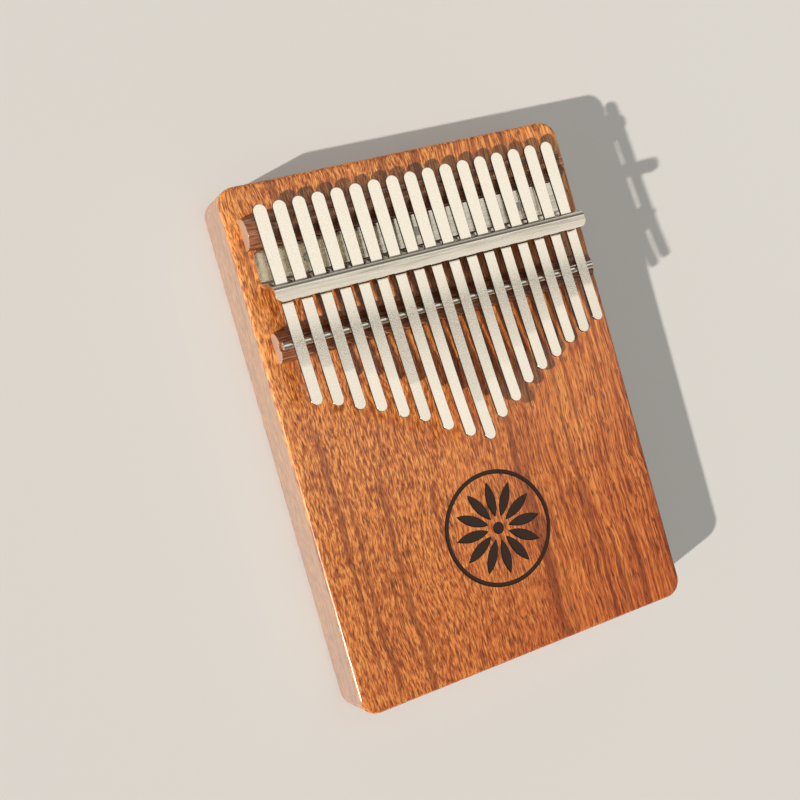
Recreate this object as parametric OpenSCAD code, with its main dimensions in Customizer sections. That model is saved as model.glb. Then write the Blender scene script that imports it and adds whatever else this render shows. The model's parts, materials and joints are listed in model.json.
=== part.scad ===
// Board kalimba (a modern mbira): a hardwood board with seventeen steel tines
// held down by a pressed steel bracket over two wooden bridges.
// +X runs across the board to the player's right, +Y towards the fixed ends of
// the tines and +Z out of the front face. The origin is the centre of the back.

/* [Board] */
// Width of the board, across the tines
board_w = 134; // [131:1:150]
// Length of the board, along the tines
board_l = 185; // [175:1:210]
// Thickness of the board
board_t = 22; // [18:1:26]
// Corner radius of the board in plan
corner_r = 6.5; // [4:0.5:12]
// Rounding along the edges of both faces
edge_r = 1.6; // [0.5:0.1:3]

/* [Tines] */
// Number of tines; the middle one is the lowest note
tine_count = 17; // [17:1:17]
// Spacing from one tine to the next
tine_pitch = 7; // [6.8:0.1:7.2]
// Width of one tine at its rear end
tine_w = 4.8; // [4.4:0.1:5]
// Width of one tine in front of the bracket
tine_front_w = 4.1; // [3.8:0.1:4.4]
// Thickness of one tine
tine_t = 1; // [0.8:0.1:1.2]
// Length of the middle tine in front of the bridge rod
longest_free = 49.5; // [44:0.5:54]
// Slope of a tine behind the bridge rod, rising towards its tip
tine_slope = 2.8; // [2.4:0.1:3.2]
// Radius of the long upward curve in front of the rod
free_curve_r = 420; // [400:10:1000]
// Length of the playing end that is bent up further
tip_len = 14; // [10:1:16]
// Angle of that bend
tip_bend = 2.4; // [1:0.2:4]

/* [Bridges] */
// Centre of the bridge rod along the board
rod_y = 36; // [34:0.5:38]
// Diameter of the bridge rod
rod_d = 3; // [2:0.5:3]
// Height of the rod's centre over the front face
rod_z = 7.6; // [7:0.1:8]
// Width of the front bridge, along the tines
front_bridge_w = 10.6; // [9:0.2:12]
// Centre of the rear bridge along the board
rear_bridge_y = 75.4; // [74:0.2:76]
// Width of the rear bridge, along the tines
rear_bridge_w = 11.2; // [9:0.2:12]
// Length of both bridges, across the board
bridge_l = 124; // [120:1:126]

/* [Bracket] */
// Length of the bracket, across the board
bracket_l = 121; // [119:1:124]
// Thickness of the bracket's sheet steel
sheet_t = 1.5; // [1.2:0.1:1.6]
// Front edge of the top flange along the board
flange_y = 49.9; // [49:0.1:51]
// Depth of the top flange, from its front edge to its bend
flange_depth = 3.8; // [3:0.1:4.4]
// Rear edge of the base plate along the board
plate_y = 69.5; // [69:0.1:69.7]
// Height of the flange's top over the front face
flange_top = 13.5; // [13:0.1:14.5]
// Lean of the web, whose foot stands behind its top
web_lean = 15; // [10:1:18]
// Outer radius of the two bends
bend_r = 2; // [1.8:0.1:2.4]

/* [Screws] */
// Number of screws through the back of the board
screw_count = 3; // [2:1:3]
// Spacing of the screws across the board
screw_pitch = 42; // [35:7:49]

/* [Ornament] */
// Outer radius of the engraved ring
ornament_r = 21; // [15:1:24]
// Number of petals inside the ring
petal_count = 12; // [8:2:12]

/* [Hidden] */
$fn = 64;
CENTRE_TINE = (tine_count - 1) / 2;

mahogany = [0.64, 0.33, 0.17];
spring_steel = [0.86, 0.84, 0.80];
polished_steel = [0.80, 0.79, 0.76];
dark_plastic = [0.16, 0.11, 0.09];

// Clearances and small sizes shared by several pieces
touch_gap = 0.1;             // a tine over the rod and the rear bridge
slide_gap = 0.05;            // a close fit, all round
screw_gap = 0.1;             // a screw in the board, all round
tine_side_gap = 0.4;         // a tine in its window, on each side
window_top_gap = 0.7;        // over the tine, for the plucking travel
overrun = 1;                 // a cutter past the face it cuts
rear_end_y = 83.6;           // rear end of every tine
taper_rear_y = 70;           // a tine narrows from here
taper_front_y = 48;          // to here

// The major scale's semitones, from which each tine's length follows
scale_steps = [0, 2, 4, 5, 7, 9, 11];
length_power = 0.55;         // free length falls as pitch to this power

// Note number of a tine, counted from the middle, alternating left and right
function note_of(i) =
  let (d = i - CENTRE_TINE) d <= 0 ? -2 * d - (d < 0 ? 1 : 0) : 2 * d;
function semitones(n) = 12 * floor(n / 7) + scale_steps[n % 7];
function free_length(i) =
  longest_free / pow(pow(2, semitones(note_of(i)) / 12), length_power);
function tine_x(i) = (i - CENTRE_TINE) * tine_pitch;

// Height of a tine's underside over the front face, on its straight part
under_at_rod = rod_z + (rod_d / 2 + touch_gap) / cos(tine_slope);
function under_z(y) = under_at_rod - (y - rod_y) * tan(tine_slope);

// Points along an arc, from one angle to another
function arc(centre, radius, from, to, steps) =
  [for (k = [0 : steps])
    let (a = from + (to - from) * k / steps) centre + radius * [cos(a), sin(a)]];

// A rectangle with four round corners, from squares and circles only
module round_rect(w, h, r) {
  square([w - 2 * r, h], center = true);
  square([w, h - 2 * r], center = true);
  for (x = [-1, 1], y = [-1, 1])
    translate([x * (w / 2 - r), y * (h / 2 - r)]) circle(r);
}

// The plank with its edges rounded over: two crossed profiles and a turned
// column at each corner
module plank() {
  translate([0, 0, board_t / 2]) {
    rotate([90, 0, 90])
      linear_extrude(board_w - 2 * corner_r, center = true)
        round_rect(board_l, board_t, edge_r);
    rotate([90, 0, 0])
      linear_extrude(board_l - 2 * corner_r, center = true)
        round_rect(board_w, board_t, edge_r);
    for (x = [-1, 1], y = [-1, 1])
      translate([x * (board_w / 2 - corner_r), y * (board_l / 2 - corner_r), 0])
        corner_column();
  }
}

module corner_column() {
  rotate_extrude()
    intersection() {
      round_rect(2 * corner_r, board_t, edge_r);
      translate([0, -board_t / 2]) square([corner_r, board_t]);
    }
}

// Screws: each runs up through the board into the bracket's base plate
shank_d = 3;
screw_head_d = 5.6;
screw_head_t = 2;
washer_d = 7;
washer_t = 0.6;
counterbore_d = 7.6;
counterbore_depth = 4.6;
socket_d = 2.9;              // across the hexagon's corners
socket_depth = 1.3;
screw_y = plate_y - 6;
function screw_x(i) = (i - (screw_count - 1) / 2) * screw_pitch;

module at_screws() {
  for (i = [0 : screw_count - 1]) translate([screw_x(i), screw_y, 0]) children();
}

// Strap stud: a low dark button on a spigot in the board's top edge
stud_x = -38.5;
stud_head_d = 9;
stud_proud = 1;
stud_spigot_d = 5;
stud_spigot_l = 9;
stud_chamfer = 0.3;

// Engraved ornament: a ring, a rosette of petals and a centre disc
ornament_y = -46;
engrave_depth = 0.3;
ring_w = 1.6;
petal_in_r = 4;
petal_out_r = 17;
petal_arc_r = 12;
centre_disc_r = 2.2;

module petal() {
  half = (petal_out_r - petal_in_r) / 2;
  offset_x = sqrt(petal_arc_r * petal_arc_r - half * half);
  translate([0, (petal_in_r + petal_out_r) / 2])
    intersection() {
      translate([offset_x, 0]) circle(petal_arc_r);
      translate([-offset_x, 0]) circle(petal_arc_r);
    }
}

module ornament() {
  difference() {
    circle(ornament_r);
    circle(ornament_r - ring_w);
  }
  for (i = [0 : petal_count - 1]) rotate(i * 360 / petal_count) petal();
  circle(centre_disc_r);
}

module board() {
  color(mahogany)
    difference() {
      plank();
      at_screws() {
        translate([0, 0, -overrun])
          cylinder(d = counterbore_d, h = counterbore_depth + overrun);
        cylinder(d = shank_d + 2 * screw_gap, h = board_t + overrun);
      }
      translate([stud_x, board_l / 2 - stud_spigot_l, board_t / 2])
        rotate([-90, 0, 0])
          cylinder(d = stud_spigot_d + 2 * slide_gap, h = stud_spigot_l + overrun);
      translate([0, ornament_y, board_t - engrave_depth])
        linear_extrude(engrave_depth + overrun) ornament();
    }
}

module strap_stud() {
  color(dark_plastic)
    translate([stud_x, board_l / 2, board_t / 2])
      rotate([-90, 0, 0]) {
        translate([0, 0, -stud_spigot_l + slide_gap])
          cylinder(d = stud_spigot_d, h = stud_spigot_l);
        cylinder(d = stud_head_d, h = stud_proud - stud_chamfer);
        translate([0, 0, stud_proud - stud_chamfer])
          cylinder(d1 = stud_head_d, d2 = stud_head_d - 2 * stud_chamfer, h = stud_chamfer);
      }
}

// A wooden bridge: straight sides up to the spring of a round crown.
// The crown's circle stands on the chord that gives the wanted height.
module bridge_bar(width, height, side_h) {
  rise = height - side_h;
  crown_r = (width * width / 4 + rise * rise) / (2 * rise);
  rotate([90, 0, 90])
    linear_extrude(bridge_l, center = true)
      intersection() {
        translate([0, height - crown_r]) circle(crown_r);
        translate([-width / 2, 0]) square([width, height]);
      }
}

rear_bridge_h = under_z(rear_bridge_y) - touch_gap;
rear_side_share = 0.3;       // of its height, below the crown
front_side_h = 2.4;          // up to the crown
rod_rise = 0.2;              // the crown's top over the rod's centre

module rear_bridge() {
  color(mahogany)
    translate([0, rear_bridge_y, board_t])
      bridge_bar(rear_bridge_w, rear_bridge_h, rear_side_share * rear_bridge_h);
}

module front_bridge() {
  color(mahogany)
    difference() {
      translate([0, rod_y, board_t])
        bridge_bar(front_bridge_w, rod_z + rod_rise, front_side_h);
      translate([0, rod_y, board_t + rod_z])
        rotate([0, 90, 0])
          cylinder(d = rod_d + 2 * slide_gap, h = bridge_l + 2 * overrun, center = true);
    }
}

rod_end_chamfer = 0.4;
rod_end_gap = 0.5;

module bridge_rod() {
  half = bridge_l / 2 - rod_end_gap;
  color(polished_steel)
    translate([0, rod_y, board_t + rod_z])
      rotate([0, 90, 0]) {
        cylinder(d = rod_d, h = 2 * (half - rod_end_chamfer), center = true);
        for (side = [-1, 1])
          rotate([0, 90 - 90 * side, 0])
            translate([0, 0, half - rod_end_chamfer])
              cylinder(d1 = rod_d, d2 = rod_d - 2 * rod_end_chamfer, h = rod_end_chamfer);
      }
}

// The bracket: one sheet bent twice into a Z whose web leans, so that its foot
// stands behind its top. The section lies in the Y-Z plane. Both bends' centres
// are on the web's slope: they differ by the two radii across it and by the
// height between them along it.
inner_r = bend_r - sheet_t;
top_bend = [flange_y + flange_depth, flange_top - bend_r];
bend_apart = (bend_r + inner_r + (top_bend[1] - bend_r) * sin(web_lean)) / cos(web_lean);
foot_bend = [top_bend[0] + bend_apart, bend_r];
plate_corner_r = 2.4;
bend_steps = 8;

module bracket_section() {
  polygon(concat(
    [[flange_y, flange_top - sheet_t]],
    arc(top_bend, inner_r, 90, web_lean, bend_steps),
    arc(foot_bend, bend_r, 180 + web_lean, 270, bend_steps),
    [[plate_y, 0], [plate_y, sheet_t]],
    arc(foot_bend, inner_r, 270, 180 + web_lean, bend_steps),
    arc(top_bend, bend_r, web_lean, 90, bend_steps),
    [[flange_y, flange_top]]));
}

// Plan of the bracket: its four free corners are rounded
module bracket_plan() {
  translate([0, (plate_y + flange_y) / 2])
    round_rect(bracket_l, plate_y - flange_y, plate_corner_r);
}

window_w = tine_w + 2 * tine_side_gap;
window_low = 3.4;
window_high = under_z(top_bend[0]) + tine_t / cos(tine_slope) + window_top_gap;

module bracket() {
  color(polished_steel)
    translate([0, 0, board_t])
      difference() {
        intersection() {
          rotate([90, 0, 90]) linear_extrude(bracket_l, center = true) bracket_section();
          linear_extrude(flange_top) bracket_plan();
        }
        for (i = [0 : tine_count - 1])
          translate([tine_x(i) - window_w / 2, flange_y, window_low])
            cube([window_w, plate_y - flange_y, window_high - window_low]);
        at_screws()
          cylinder(d = shank_d + 2 * slide_gap, h = sheet_t + overrun);
      }
}

module bracket_screws() {
  head_z = counterbore_depth - washer_t - screw_head_t;
  color(polished_steel)
    at_screws() {
      translate([0, 0, head_z])
        difference() {
          cylinder(d = screw_head_d, h = screw_head_t);
          translate([0, 0, -overrun])
            cylinder(d = socket_d, h = socket_depth + overrun, $fn = 6);
        }
      translate([0, 0, head_z + screw_head_t])
        cylinder(d = shank_d, h = board_t + sheet_t - head_z - screw_head_t);
    }
}

module bracket_washers() {
  color(spring_steel)
    at_screws()
      translate([0, 0, counterbore_depth - washer_t])
        difference() {
          cylinder(d = washer_d, h = washer_t);
          translate([0, 0, -overrun])
            cylinder(d = shank_d + 2 * screw_gap, h = washer_t + 2 * overrun);
        }
}

// Side view of a tine's underside: straight from the rear end to the rod, then a
// long arc, then a tighter arc over the playing end. Points are [y, z] over the
// front face, and an arc that starts at angle a and turns by t has this end.
curve_steps = 8;
function arc_end(start, radius, a, t) =
  [start[0] - radius * (sin(a + t) - sin(a)), start[1] + radius * (cos(a) - cos(a + t))];
function lift(p, a) = [p[0] + tine_t * sin(a), p[1] + tine_t * cos(a)];

module tine_side(free_len) {
  curve_turn = (free_len - tip_len) / free_curve_r * 180 / PI;
  tip_r = tip_len / (tip_bend * PI / 180);
  rear = [rear_end_y + overrun, under_z(rear_end_y + overrun)];
  over_rod = [rod_y, under_z(rod_y)];
  tip_start = arc_end(over_rod, free_curve_r, tine_slope, curve_turn);
  fractions = [for (k = [1 : curve_steps]) k / curve_steps];
  low = concat(
    [rear, over_rod],
    [for (f = fractions) arc_end(over_rod, free_curve_r, tine_slope, f * curve_turn)],
    [for (f = fractions) arc_end(tip_start, tip_r, tine_slope + curve_turn, f * tip_bend)]);
  slopes = concat(
    [tine_slope, tine_slope],
    [for (f = fractions) tine_slope + f * curve_turn],
    [for (f = fractions) tine_slope + curve_turn + f * tip_bend]);
  high = [for (k = [len(low) - 1 : -1 : 0]) lift(low[k], slopes[k])];
  polygon(concat(low, high));
}

// Plan of a tine: a round rear end, straight sides that taper under the bracket,
// and a round tip
end_steps = 16;

module tine_plan(tip_y) {
  rear_half = tine_w / 2;
  front_half = tine_front_w / 2;
  polygon(concat(
    arc([0, rear_end_y - rear_half], rear_half, 0, 180, end_steps),
    [[-rear_half, taper_rear_y], [-front_half, taper_front_y]],
    arc([0, tip_y + front_half], front_half, 180, 360, end_steps),
    [[front_half, taper_front_y], [rear_half, taper_rear_y]]));
}

module tine(i) {
  tip_y = rod_y - free_length(i);
  color(spring_steel)
    translate([tine_x(i), 0, board_t])
      intersection() {
        rotate([90, 0, 90])
          linear_extrude(tine_w + 2 * overrun, center = true)
            tine_side(free_length(i) + overrun);
        linear_extrude(board_t) tine_plan(tip_y);
      }
}

board();
strap_stud();
rear_bridge();
front_bridge();
bridge_rod();
bracket();
bracket_screws();
bracket_washers();
tine(0);  // tine_01
tine(1);  // tine_02
tine(2);  // tine_03
tine(3);  // tine_04
tine(4);  // tine_05
tine(5);  // tine_06
tine(6);  // tine_07
tine(7);  // tine_08
tine(8);  // tine_09
tine(9);  // tine_10
tine(10);  // tine_11
tine(11);  // tine_12
tine(12);  // tine_13
tine(13);  // tine_14
tine(14);  // tine_15
tine(15);  // tine_16
tine(16);  // tine_17
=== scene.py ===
"""A board kalimba: a lacquered hardwood plank, two bridges, a bent steel bracket
and seventeen spring-steel tines. Metres, +Y towards the tines' fixed ends."""

import json
import math

import bmesh
import bpy
import numpy as np
from mathutils import Matrix, Vector


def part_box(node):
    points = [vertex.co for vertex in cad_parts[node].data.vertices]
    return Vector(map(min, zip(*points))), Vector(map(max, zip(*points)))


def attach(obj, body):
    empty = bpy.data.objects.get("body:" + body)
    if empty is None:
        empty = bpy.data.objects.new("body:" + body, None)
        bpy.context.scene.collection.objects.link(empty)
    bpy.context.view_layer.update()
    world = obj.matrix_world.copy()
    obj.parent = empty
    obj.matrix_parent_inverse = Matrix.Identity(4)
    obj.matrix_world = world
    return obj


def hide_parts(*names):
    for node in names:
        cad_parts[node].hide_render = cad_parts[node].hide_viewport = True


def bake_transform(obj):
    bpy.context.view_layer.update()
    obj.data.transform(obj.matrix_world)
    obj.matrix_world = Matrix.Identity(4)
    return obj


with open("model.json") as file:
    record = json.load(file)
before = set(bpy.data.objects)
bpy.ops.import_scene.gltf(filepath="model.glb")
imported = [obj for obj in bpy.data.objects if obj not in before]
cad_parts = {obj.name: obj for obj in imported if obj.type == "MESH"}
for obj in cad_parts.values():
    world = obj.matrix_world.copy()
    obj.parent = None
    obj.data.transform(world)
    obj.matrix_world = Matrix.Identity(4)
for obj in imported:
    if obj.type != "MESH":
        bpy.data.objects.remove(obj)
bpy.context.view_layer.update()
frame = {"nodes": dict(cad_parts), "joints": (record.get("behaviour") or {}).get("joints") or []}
MM = 0.001


# --- Board -----------------------------------------------------------------------
# One plank of mahogany, sawn so that its grain runs along the tines, with its edges
# rounded over, sanded and sprayed with a satin lacquer. A laser burns the ornament
# into it, and the screws' counterbores are drilled from the back.

def srgb(code):
    """Linear RGBA from a hex colour, by the sRGB curve."""
    parts = [int(code[i:i + 2], 16) / 255 for i in (1, 3, 5)]
    curve = [p / 12.92 if p <= 0.04045 else ((p + 0.055) / 1.055) ** 2.4 for p in parts]
    return (*curve, 1.0)


def node(tree, kind, inputs=(), out=0, stops=(), **settings):
    """Adds a node with its settings and links. inputs fill its sockets by place or by
    name: a socket is linked and a value is set. stops are a ramp's (place, colour)
    pairs. Gives back one of its outputs."""
    made = tree.nodes.new("ShaderNode" + kind)
    for name, value in settings.items():
        setattr(made, name, value)
    for count, (where, colour) in enumerate(stops):
        if count >= len(made.color_ramp.elements):
            made.color_ramp.elements.new(1.0)
        made.color_ramp.elements[count].position = where
        made.color_ramp.elements[count].color = colour
    for key, value in inputs.items() if isinstance(inputs, dict) else enumerate(inputs):
        if isinstance(value, bpy.types.NodeSocket):
            tree.links.new(value, made.inputs[key])
        else:
            made.inputs[key].default_value = value
    return made.outputs[out]


def new_material(name, **constants):
    """A material, its tree and its Principled shader. constants are values that are
    the same all over the surface, set on the shader's own sockets."""
    material = bpy.data.materials.new(name)
    material.use_nodes = True
    shader = material.node_tree.nodes["Principled BSDF"]
    for key, value in constants.items():
        shader.inputs[key.replace("_", " ")].default_value = value
    return material, material.node_tree, shader


def paint(name, material):
    """Gives a CAD node its finish."""
    frame["nodes"][name].data.materials.clear()
    frame["nodes"][name].data.materials.append(material)


def mahogany(name, turned, shift, golden, tan, red, dark, pore):
    """Sawn mahogany under satin lacquer. Interlocked grain shows as short flecks on
    the left that lengthen to streaks on the right, in broad ribbons, with fine fibres,
    open pores and a few long growth lines. turned swings the grain from Y, and shift
    moves the pattern, in metres, so that no two pieces match. Gives the colour before
    it reaches the shader."""
    material, tree, shader = new_material(
        name, Roughness=0.4, IOR=1.5, Coat_Weight=0.5, Coat_Roughness=0.16, Coat_IOR=1.5)
    place = node(tree, "TexCoord", out="Object")
    swung = node(tree, "VectorRotate", {"Vector": place, "Angle": turned},
                 rotation_type="Z_AXIS")
    moved = node(tree, "VectorMath", (swung, shift), operation="ADD")
    # the fibres waver sideways by a millimetre or two over 40 mm of length
    waver = node(tree, "TexNoise", {"Vector": moved, "Scale": 1 / (40 * MM), "Detail": 2.0},
                 out="Color")
    centred = node(tree, "VectorMath", (waver, (0.5, 0.5, 0.5)), operation="SUBTRACT")
    push = node(tree, "VectorMath", (centred, (7 * MM, 0.0, 7 * MM)), operation="MULTIPLY")
    bent = node(tree, "VectorMath", (moved, push), operation="ADD")
    grain = {}
    # each layer of grain: width across the board and length along it in mm, and detail
    for layer, across, along, detail in (
            ("ribbon", 13.0, 150.0, 3.0), ("fleck", 0.66, 3.2, 2.0), ("streak", 0.85, 28.0, 2.0),
            ("fibre", 0.38, 6.0, 2.0), ("pore", 0.36, 3.4, 0.0), ("growth", 2.6, 130.0, 0.0)):
        size = (1 / (across * MM), 1 / (along * MM), 1 / (across * MM))
        drawn = node(tree, "VectorMath", (bent, size), operation="MULTIPLY")
        grain[layer] = node(tree, "TexNoise", {"Vector": drawn, "Scale": 1.0, "Detail": detail,
                                               "Roughness": 0.6})
    # flecks turn to streaks across the board
    across = node(tree, "SeparateXYZ", (moved,), out="X")
    drift = node(tree, "Math", (grain["ribbon"], 60 * MM, across), operation="MULTIPLY_ADD")
    turn = node(tree, "MapRange", {"Value": drift, "From Min": 5 * MM, "From Max": 75 * MM},
                interpolation_type="SMOOTHSTEP")
    figure = node(tree, "Mix", {0: turn, 2: grain["fleck"], 3: grain["streak"]})
    # tone = 0.5 + each layer's share of what it adds about its middle value
    tone = node(tree, "Math", (figure, 1.15, -0.075), operation="MULTIPLY_ADD")
    for layer, share in (("ribbon", 0.34), ("fibre", 0.50)):
        part = node(tree, "Math", (grain[layer], share, -0.5 * share), operation="MULTIPLY_ADD")
        tone = node(tree, "Math", (tone, part), operation="ADD")
    colour = node(tree, "ValToRGB", (tone,), stops=[
        (0.24, srgb(dark)), (0.42, srgb(red)), (0.56, srgb(tan)), (0.74, srgb(golden))])
    lines = node(tree, "ValToRGB", (grain["growth"],), stops=[
        (0.66, (0, 0, 0, 1)), (0.74, (0.6, 0.6, 0.6, 1))])
    colour = node(tree, "Mix", {0: lines, 6: colour, 7: srgb(dark)}, out=2, data_type="RGBA")
    holes = node(tree, "ValToRGB", (grain["pore"],), stops=[
        (0.60, (0, 0, 0, 1)), (0.70, (0.7, 0.7, 0.7, 1))])
    colour = node(tree, "Mix", {0: holes, 6: colour, 7: srgb(pore)}, out=2, data_type="RGBA")
    # the lacquer sinks a little into the pores and between the fibres
    relief = node(tree, "Math", (grain["fibre"], 0.5, holes), operation="MULTIPLY_ADD")
    deep = node(tree, "Math", (0.0, relief), operation="SUBTRACT")
    normal = node(tree, "Bump", {"Height": deep, "Strength": 0.3, "Distance": 0.06 * MM})
    tree.links.new(normal, shader.inputs["Normal"])
    return material, tree, shader, place, colour, grain["fibre"]


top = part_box("board")[1].z
ORNAMENT_Y = -46 * MM
BURNT_R = 22 * MM
ENGRAVE_DEPTH = 0.3 * MM

# Lacquered mahogany, sawn and sanded: golden flecks over red-brown, darker short pores
# and a satin gloss, with a painted sheen that pales its sides.
wood, tree, shader, place, colour, fibre = mahogany(
    "lacquered_mahogany", 0.0, (0.0, 0.0, 0.0), "#F8B060", "#DF9048", "#B9642A", "#7C3A16",
    "#42200E")
# the board is darker and redder towards its front right corner
towards_front_right = node(tree, "VectorMath", (place, (0.55, -0.75, 0.0)), out="Value",
             operation="DOT_PRODUCT")
redness = node(tree, "MapRange", {"Value": towards_front_right, "From Min": -30 * MM, "From Max": 100 * MM,
                                  "To Max": 0.8})
colour = node(tree, "Mix", {0: redness, 6: colour, 7: srgb("#D6A088")}, out=2,
              data_type="RGBA", blend_type="MULTIPLY")
# the sides are painted paler than the face, and pinker: a painted sheen of the lacquer
faces = node(tree, "NewGeometry", out="Normal")
sideways = node(tree, "SeparateXYZ", (faces,), out="X")
sideways = node(tree, "Math", (sideways,), operation="ABSOLUTE")
painted_side_sheen = node(tree, "MapRange", {"Value": sideways, "From Min": 0.75, "From Max": 0.98,
                                 "To Max": 0.68})
colour = node(tree, "Mix", {0: painted_side_sheen, 6: colour, 7: srgb("#88827A")}, out=2,
              data_type="RGBA")
# the engraving's floor, just under the front face, is charred by the laser
centre = (0.0, ORNAMENT_Y, top - ENGRAVE_DEPTH)
flat = node(tree, "VectorMath", (place, (1.0, 1.0, 1.0)), operation="MULTIPLY")
away = node(tree, "VectorMath", (flat, centre), out="Value", operation="DISTANCE")
inside = node(tree, "Math", (away, BURNT_R), operation="LESS_THAN")
depth = node(tree, "SeparateXYZ", (place,), out="Z")
sunk = node(tree, "Math", (depth, top - 0.2 * ENGRAVE_DEPTH), operation="LESS_THAN")
burnt = node(tree, "Math", (inside, sunk), operation="MULTIPLY")
char = node(tree, "Mix", {0: fibre, 6: srgb("#120A06"), 7: srgb("#38231A")}, out=2,
            data_type="RGBA")
colour = node(tree, "Mix", {0: burnt, 6: colour, 7: char}, out=2, data_type="RGBA")
tree.links.new(colour, shader.inputs["Base Color"])
# it is rough, and almost bare of lacquer
dull = node(tree, "Math", (burnt, 0.4, 0.4), operation="MULTIPLY_ADD")
tree.links.new(dull, shader.inputs["Roughness"])
bare = node(tree, "Math", (burnt, -0.45, 0.5), operation="MULTIPLY_ADD")
tree.links.new(bare, shader.inputs["Coat Weight"])
paint("board", wood)


# --- Strap stud ------------------------------------------------------------------
# A low button moulded in dark plastic, pressed into the top edge on its spigot.

# Moulded ABS: near-black brown, evenly satin with a faint moulded grain.
stud_plastic, tree, shader = new_material("moulded_dark_plastic", Roughness=0.42, IOR=1.53)
place = node(tree, "TexCoord", out="Object")
mould = node(tree, "TexNoise", {"Vector": place, "Scale": 1 / (0.5 * MM), "Detail": 2.0})
colour = node(tree, "ValToRGB", (mould,), stops=[
    (0.35, srgb("#241812")), (0.65, srgb("#35241B"))])
tree.links.new(colour, shader.inputs["Base Color"])
normal = node(tree, "Bump", {"Height": mould, "Strength": 0.2, "Distance": 0.03 * MM})
tree.links.new(normal, shader.inputs["Normal"])
paint("strap_stud", stud_plastic)


# --- Bridges and rod -------------------------------------------------------------
# Two bars of the same mahogany, shaped with a round crown, their ends sanded soft,
# glued to the board. The front one is grooved along its crown for the steel rod.

def finished(name, new_name, body, material, edge):
    """A copy of a CAD node made ready for its finish: its triangles are merged, flat
    ones are joined into whole faces, and sharp edges are rounded to radius edge."""
    mesh = bpy.data.meshes.new(new_name)
    work = bmesh.new()
    work.from_mesh(frame["nodes"][name].data)
    bmesh.ops.remove_doubles(work, verts=work.verts, dist=0.002 * MM)
    bmesh.ops.dissolve_limit(work, angle_limit=math.radians(0.5), verts=work.verts,
                             edges=work.edges)
    work.to_mesh(mesh)
    work.free()
    mesh.materials.clear()
    mesh.materials.append(material)
    mesh.shade_smooth()
    piece = bpy.data.objects.new(new_name, mesh)
    bpy.context.scene.collection.objects.link(piece)
    rounding = piece.modifiers.new("rounding", "BEVEL")
    rounding.width = edge
    rounding.segments = 3
    rounding.limit_method = "ANGLE"
    rounding.angle_limit = math.radians(35)
    level = piece.modifiers.new("flat faces stay flat", "WEIGHTED_NORMAL")
    level.keep_sharp = True
    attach(piece, body)
    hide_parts(name)


# Lacquered mahogany offcuts with their grain along the bar, in a darker, browner copy of the
# board's mahogany that paints in the shade on the bars; their ends are painted paler and pinker.
shaded_bar_wood, tree, shader, place, colour, fibre = mahogany(
    "lacquered_mahogany_bar_painted_shade", math.pi / 2, (0.09, 0.17, 0.07), "#C08A62", "#A0694A", "#824C34",
    "#62341F", "#3C1C0E")
# the bars' ends are painted paler and pinker: painted sunlight and sheen on their end faces
faces = node(tree, "NewGeometry", out="Normal")
ends = node(tree, "SeparateXYZ", (faces,), out="X")
ends = node(tree, "Math", (ends,), operation="ABSOLUTE")
painted_end_sheen = node(tree, "MapRange", {"Value": ends, "From Min": 0.5, "From Max": 0.9, "To Max": 0.8})
painted_end_colour = node(tree, "Mix", {0: fibre, 6: srgb("#9C8270"), 7: srgb("#C4AC98")}, out=2,
                 data_type="RGBA")
colour = node(tree, "Mix", {0: painted_end_sheen, 6: colour, 7: painted_end_colour}, out=2, data_type="RGBA")
tree.links.new(colour, shader.inputs["Base Color"])
for name in ("rear_bridge", "front_bridge"):
    finished(name, "crowned_" + name, "frame", shaded_bar_wood, 0.35 * MM)

# Chromed steel: ground, polished and plated, so it shows sharp bright lines.
chrome, tree, shader = new_material("chromed_steel_rod", Metallic=1.0)
place = node(tree, "TexCoord", out="Object")
haze = node(tree, "TexNoise", {"Vector": place, "Scale": 1 / (2 * MM), "Detail": 3.0})
rough = node(tree, "MapRange", {"Value": haze, "From Min": 0.3, "From Max": 0.7,
                                "To Min": 0.07, "To Max": 0.16})
tree.links.new(rough, shader.inputs["Roughness"])
colour = node(tree, "ValToRGB", (haze,), stops=[
    (0.3, srgb("#D9D5CC")), (0.7, srgb("#E6E3DC"))])
tree.links.new(colour, shader.inputs["Base Color"])
paint("bridge_rod", chrome)


# --- Bracket ---------------------------------------------------------------------
# One strip of sheet steel, punched with a window for each tine, bent twice into a Z,
# its sheared edges rolled off by polishing. Its base plate is screwed down from behind
# and its leaning web stands over the tines.

# Polished stainless sheet: bright, with faint haze from buffing along its length.
polished, tree, shader = new_material("polished_steel_sheet", Metallic=1.0)
place = node(tree, "TexCoord", out="Object")
# a buffing mark is some 17 mm long and 0.6 mm wide
stretch = (1 / (16.667 * MM), 1 / (0.625 * MM), 1 / (0.625 * MM))
along = node(tree, "VectorMath", (place, stretch), operation="MULTIPLY")
buffed = node(tree, "TexNoise", {"Vector": along, "Scale": 1.0, "Detail": 2.0})
rough = node(tree, "MapRange", {"Value": buffed, "From Min": 0.3, "From Max": 0.7,
                                "To Min": 0.09, "To Max": 0.17})
tree.links.new(rough, shader.inputs["Roughness"])
colour = node(tree, "ValToRGB", (buffed,), stops=[
    (0.3, srgb("#E9E4DA")), (0.7, srgb("#F2EEE6"))])
tree.links.new(colour, shader.inputs["Base Color"])
finished("bracket", "bent_bracket", "frame", polished, 0.2 * MM)

# Zinc-plated screws and washers: dull grey with a faint crystal mottle.
zinc, tree, shader = new_material("zinc_plated_steel", Metallic=1.0)
place = node(tree, "TexCoord", out="Object")
crystal = node(tree, "TexVoronoi", {"Vector": place, "Scale": 1 / (0.6 * MM)}, out="Color")
colour = node(tree, "ValToRGB", (crystal,), stops=[
    (0.2, srgb("#AEB0B0")), (0.8, srgb("#C6C6C2"))])
tree.links.new(colour, shader.inputs["Base Color"])
rough = node(tree, "MapRange", {"Value": crystal, "To Min": 0.28, "To Max": 0.42})
tree.links.new(rough, shader.inputs["Roughness"])
for name in ("bracket_screws", "bracket_washers"):
    paint(name, zinc)
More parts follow.
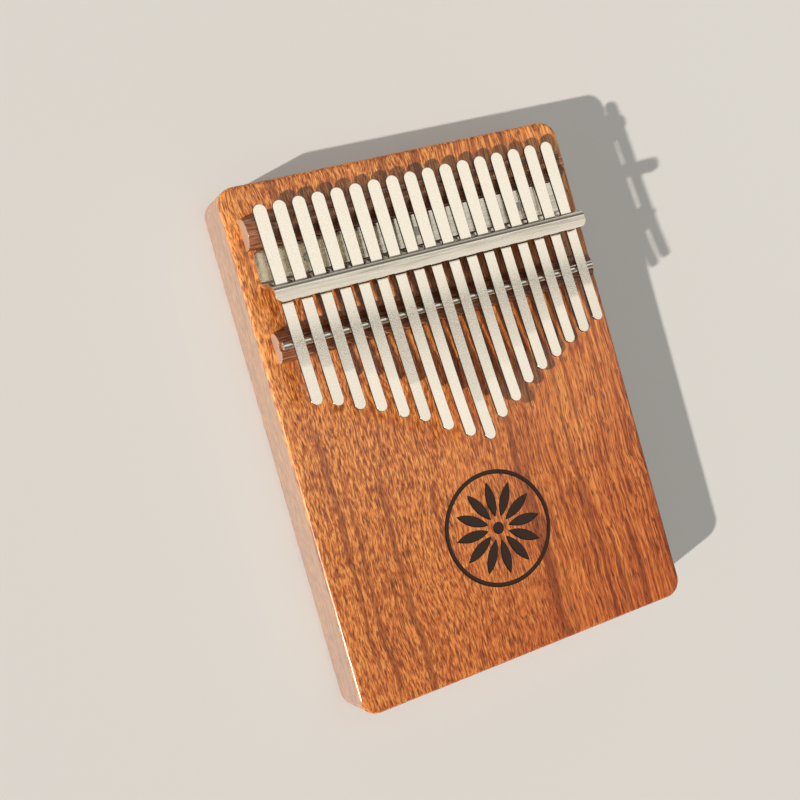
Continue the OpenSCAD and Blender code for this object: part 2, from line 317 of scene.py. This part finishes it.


# --- Tines -----------------------------------------------------------------------
# Strips of hardened spring steel with round ends and a narrower playing part, tumbled
# until their edges are soft. Each is set by hand in a long curve that rises in front of
# the rod, with its playing end creased further up.

TINE_THICK = 1.0 * MM
TINE_EDGE = 0.14 * MM
FRONT_HALF = 2.05 * MM
TAPER_FRONT_Y = 48 * MM
TAPER_REAR_Y = 70 * MM
SLOPE = math.radians(2.8)
LONG_CURVE_R = 420 * MM
SET_SPREAD = 0.28
PLAYING_END = 14 * MM
CREASE_LENGTH = 1.5 * MM
CREASE_TURN = math.radians(0.8)
END_CURVE_R = 700 * MM
ROD_CLEARANCE = 0.1 * MM
rod_low, rod_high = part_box("bridge_rod")
rod_y = (rod_low.y + rod_high.y) / 2
under_at_rod = ((rod_low.z + rod_high.z) / 2
                + ((rod_high.z - rod_low.z) / 2 + ROD_CLEARANCE) / math.cos(SLOPE))


def arc_from(y, start_y, start_z, start_angle, radius):
    """Height and slope angle along an arc that rises towards -Y: at a distance d past
    its start the sine of the slope has grown by d / radius, and the height by radius
    times the fall of the cosine."""
    angle = np.arcsin(np.sin(start_angle) + (start_y - y) / radius)
    return start_z + radius * (np.cos(start_angle) - np.cos(angle)), angle


def underside(y, tip_y, curve_r):
    """Height and slope of a tine's underside at each y: a straight line behind the
    rod, the long curve in front of it, the crease, and the playing end's own curve."""
    crease_y = tip_y + PLAYING_END
    end_y = crease_y - CREASE_LENGTH
    height = under_at_rod - (y - rod_y) * math.tan(SLOPE)
    angle = np.full_like(y, SLOPE)
    start = (rod_y, under_at_rod, SLOPE)
    for begin, finish, radius in ((rod_y, crease_y, curve_r),
                                  (crease_y, end_y, CREASE_LENGTH / CREASE_TURN),
                                  (end_y, tip_y, END_CURVE_R)):
        z, a = arc_from(np.minimum(y, begin), *start, radius)
        height, angle = np.where(y < begin, z, height), np.where(y < begin, a, angle)
        next_z, next_a = arc_from(np.array([finish]), *start, radius)
        start = (finish, next_z[0], next_a[0])
    return height, angle


def strip(centre_x, tip_y, rear_y, rear_half, curve_r):
    """A tine as a grid of stations along its outline by points round its section.
    Station: an angle phi, a quarter turn at each round end and 0 along the sides, and
    the centre that the angle turns about. Section: an inset from the outline and a
    height above the underside, round at both edges. half falls from the rear end's to
    the playing part's across the taper. A point's x is (half - inset) cos phi and its
    y is the centre plus (half - inset) sin phi; the left side mirrors it."""
    quarter = np.radians(np.linspace(90, 0, 9))
    crease_y = tip_y + PLAYING_END
    sides = np.concatenate([
        np.linspace(rear_y - rear_half, rod_y, 24), np.linspace(rod_y, crease_y, 22)[1:],
        np.linspace(crease_y, crease_y - CREASE_LENGTH, 7)[1:],
        np.linspace(crease_y - CREASE_LENGTH, tip_y + FRONT_HALF, 14)[1:]])
    phi = np.concatenate([quarter, np.zeros(len(sides)), -quarter[::-1]])
    middle = np.concatenate([np.full(len(quarter), rear_y - rear_half), sides,
                             np.full(len(quarter), tip_y + FRONT_HALF)])
    half = np.interp(middle, (TAPER_FRONT_Y, TAPER_REAR_Y), (FRONT_HALF, rear_half))
    low = np.radians(np.linspace(0, 90, 5))
    # a loop on each flat face, 1.8 edge radii in, keeps its shading flat
    inset = TINE_EDGE * np.concatenate([[1.8], 1 - np.sin(low), 1 - np.sin(low[::-1]), [1.8]])
    rise = TINE_EDGE * (1 - np.cos(low))
    lift = np.concatenate([[0.0], rise, TINE_THICK - rise[::-1], [TINE_THICK]])
    reach = half[:, None] - inset[None, :]
    x = reach * np.cos(phi)[:, None]
    y = middle[:, None] + reach * np.sin(phi)[:, None]
    z, angle = underside(y, tip_y, curve_r)
    z = z + lift[None, :] / np.cos(angle)
    right = np.stack([centre_x + x, y, z], axis=2)
    left = np.stack([centre_x - x, y, z], axis=2)[:, ::-1]
    return np.concatenate([right, left], axis=1)


def closed_grid(name, points, material):
    """A smooth mesh from a grid whose second direction closes on itself. Doubled
    points at its two ends are merged, which closes the poles."""
    rows, columns = points.shape[:2]
    index = np.arange(rows * columns).reshape(rows, columns)
    after = np.roll(index, -1, axis=1)
    quads = np.stack([index[:-1], after[:-1], after[1:], index[1:]], axis=2).reshape(-1, 4)
    mesh = bpy.data.meshes.new(name)
    mesh.from_pydata(points.reshape(-1, 3).tolist(), [], quads.tolist())
    work = bmesh.new()
    work.from_mesh(mesh)
    bmesh.ops.remove_doubles(work, verts=work.verts, dist=0.0005 * MM)
    bmesh.ops.recalc_face_normals(work, faces=work.faces)
    work.to_mesh(mesh)
    work.free()
    mesh.materials.append(material)
    mesh.shade_smooth()
    piece = bpy.data.objects.new(name, mesh)
    bpy.context.scene.collection.objects.link(piece)
    return piece


# Tumbled spring steel: bright and warm white, with a fine speckle from the tumbling
# stones that shows where it mirrors something dark.
spring_steel, tree, shader = new_material("tumbled_spring_steel", Metallic=1.0)
place = node(tree, "TexCoord", out="Object")
speckle = node(tree, "TexNoise", {"Vector": place, "Scale": 1 / (0.45 * MM), "Detail": 2.0})
rough = node(tree, "MapRange", {"Value": speckle, "From Min": 0.3, "From Max": 0.7,
                                "To Min": 0.07, "To Max": 0.13})
colour = node(tree, "ValToRGB", (speckle,), stops=[
    (0.3, srgb("#E6E2D9")), (0.7, srgb("#F4F1EA"))])
# the sheared sides and ends stay dull, and are painted dark in place of the dark board they
# mirror
faces = node(tree, "NewGeometry", out="Normal")
upright = node(tree, "SeparateXYZ", (faces,), out="Z")
upright = node(tree, "Math", (upright,), operation="ABSOLUTE")
dull_sides_painted_dark = node(tree, "MapRange", {"Value": upright, "From Min": 0.9, "From Max": 0.55})
colour = node(tree, "Mix", {0: dull_sides_painted_dark, 6: colour, 7: srgb("#5B574F")}, out=2,
              data_type="RGBA")
tree.links.new(colour, shader.inputs["Base Color"])
rough = node(tree, "Math", (dull_sides_painted_dark, 0.3, rough), operation="MULTIPLY_ADD")
tree.links.new(rough, shader.inputs["Roughness"])
normal = node(tree, "Bump", {"Height": speckle, "Strength": 0.12, "Distance": 0.02 * MM})
tree.links.new(normal, shader.inputs["Normal"])

hand_set = np.random.default_rng(11)
for joint in frame["joints"]:
    number = joint["child"][-2:]
    low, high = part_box("tine_" + number)
    curve_r = LONG_CURVE_R * (1 + SET_SPREAD * hand_set.random())
    tine = closed_grid("tumbled_tine_" + number,
                       strip((low.x + high.x) / 2, low.y, high.y, (high.x - low.x) / 2, curve_r),
                       spring_steel)
    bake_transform(tine)
    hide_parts("tine_" + number)


# --- Studio ----------------------------------------------------------------------
# A pale floor, one warm lamp low on the left, walls that darken upwards to a pale
# ceiling, and two long softboxes overhead for the steel to reflect.

FLOOR_REACH = 1.6
FLOOR_DROP = 0.3 * MM
floor_mesh = bpy.data.meshes.new("floor")
floor_mesh.from_pydata([(side_x * FLOOR_REACH, side_y * FLOOR_REACH, -FLOOR_DROP)
                        for side_x, side_y in ((-1, -1), (1, -1), (1, 1), (-1, 1))],
                       [], [(0, 1, 2, 3)])
studio_floor = bpy.data.objects.new("floor", floor_mesh)
bpy.context.scene.collection.objects.link(studio_floor)

# Matt white paper, lit a little from below so that the shadow on it stays pale.
paper, tree, shader = new_material("backlit_matt_paper", Roughness=0.9)
shader.inputs["Base Color"].default_value = srgb("#C4C6C9")
shader.inputs["Emission Color"].default_value = srgb("#D6D4CF")
shader.inputs["Emission Strength"].default_value = 0.18
floor_mesh.materials.append(paper)

# the walls' brightness, by the sine of the angle above the floor
world = bpy.data.worlds.new("studio")
bpy.context.scene.world = world
world.use_nodes = True
background = world.node_tree.nodes["Background"]
direction = node(world.node_tree, "TexCoord", out="Generated")
height = node(world.node_tree, "SeparateXYZ", (direction,), out="Z")
room = node(world.node_tree, "ValToRGB", (height,), stops=[
    (0.0, srgb("#B4AFA6")), (0.4, srgb("#98938B")), (0.52, srgb("#625E58")),
    (0.66, srgb("#625E58")), (0.82, srgb("#A39E94")), (0.95, srgb("#A39E94")),
    (1.0, srgb("#ECE8DF"))])
world.node_tree.links.new(room, background.inputs["Color"])
background.inputs["Strength"].default_value = 1.0
bpy.context.scene.view_settings.view_transform = "Standard"


def lamp(name, kind, colour, where, target):
    """A light aimed at a point: its -Z axis looks from where it is to the target."""
    data = bpy.data.lights.new(name, kind)
    data.color = srgb(colour)[:3]
    made = bpy.data.objects.new(name, data)
    made.location = where
    aim = Vector(target) - Vector(where)
    made.rotation_euler = aim.to_track_quat("-Z", "Y").to_euler()
    bpy.context.scene.collection.objects.link(made)
    return data


sun = lamp("key_sun", "SUN", "#FFF4E6", (-1.78, -0.5, 1.0), (0, 0, 0))
sun.energy = 4.6
sun.angle = math.radians(1.2)

BOX_HEIGHT = 1.5
# each softbox covers a range of angles from straight up, towards +X and towards +Y
for name, radiance, x_range, y_range in (("rear_softbox", 0.72, (5, 45), (9.4, 22)),
                                         ("front_softbox", 0.8, (5, 45), (-8, 6.4))):
    x0, x1 = (BOX_HEIGHT * math.tan(math.radians(a)) for a in x_range)
    y0, y1 = (BOX_HEIGHT * math.tan(math.radians(a)) for a in y_range)
    above = Vector(((x0 + x1) / 2, (y0 + y1) / 2, BOX_HEIGHT))
    box = lamp(name, "AREA", "#FFF8EC", above, above - Vector((0, 0, 1)))
    box.shape = "RECTANGLE"
    box.size, box.size_y = x1 - x0, y1 - y0
    box.energy = radiance * math.pi * box.size * box.size_y


# --- Camera ----------------------------------------------------------------------
# Above the board and well to its left, rolled so that the board leans to the left.

LENS_RATIO = 1.5
LEAN = math.radians(17.0)
camera_at = Vector((-0.1789, 0.0216, top + 0.3879))
looks_at = Vector((-0.0191, 0.0075, top - 0.010))
camera_data = bpy.data.cameras.new("camera")
camera_data.sensor_width = 36.0
camera_data.lens = camera_data.sensor_width * LENS_RATIO
camera = bpy.data.objects.new("camera", camera_data)
bpy.context.scene.collection.objects.link(camera)
bpy.context.scene.camera = camera
forward = (looks_at - camera_at).normalized()
right = forward.cross(Vector((math.sin(LEAN), math.cos(LEAN), 0))).normalized()
turned = Matrix((right, right.cross(forward), -forward)).transposed().to_4x4()
camera.matrix_world = Matrix.Translation(camera_at) @ turned
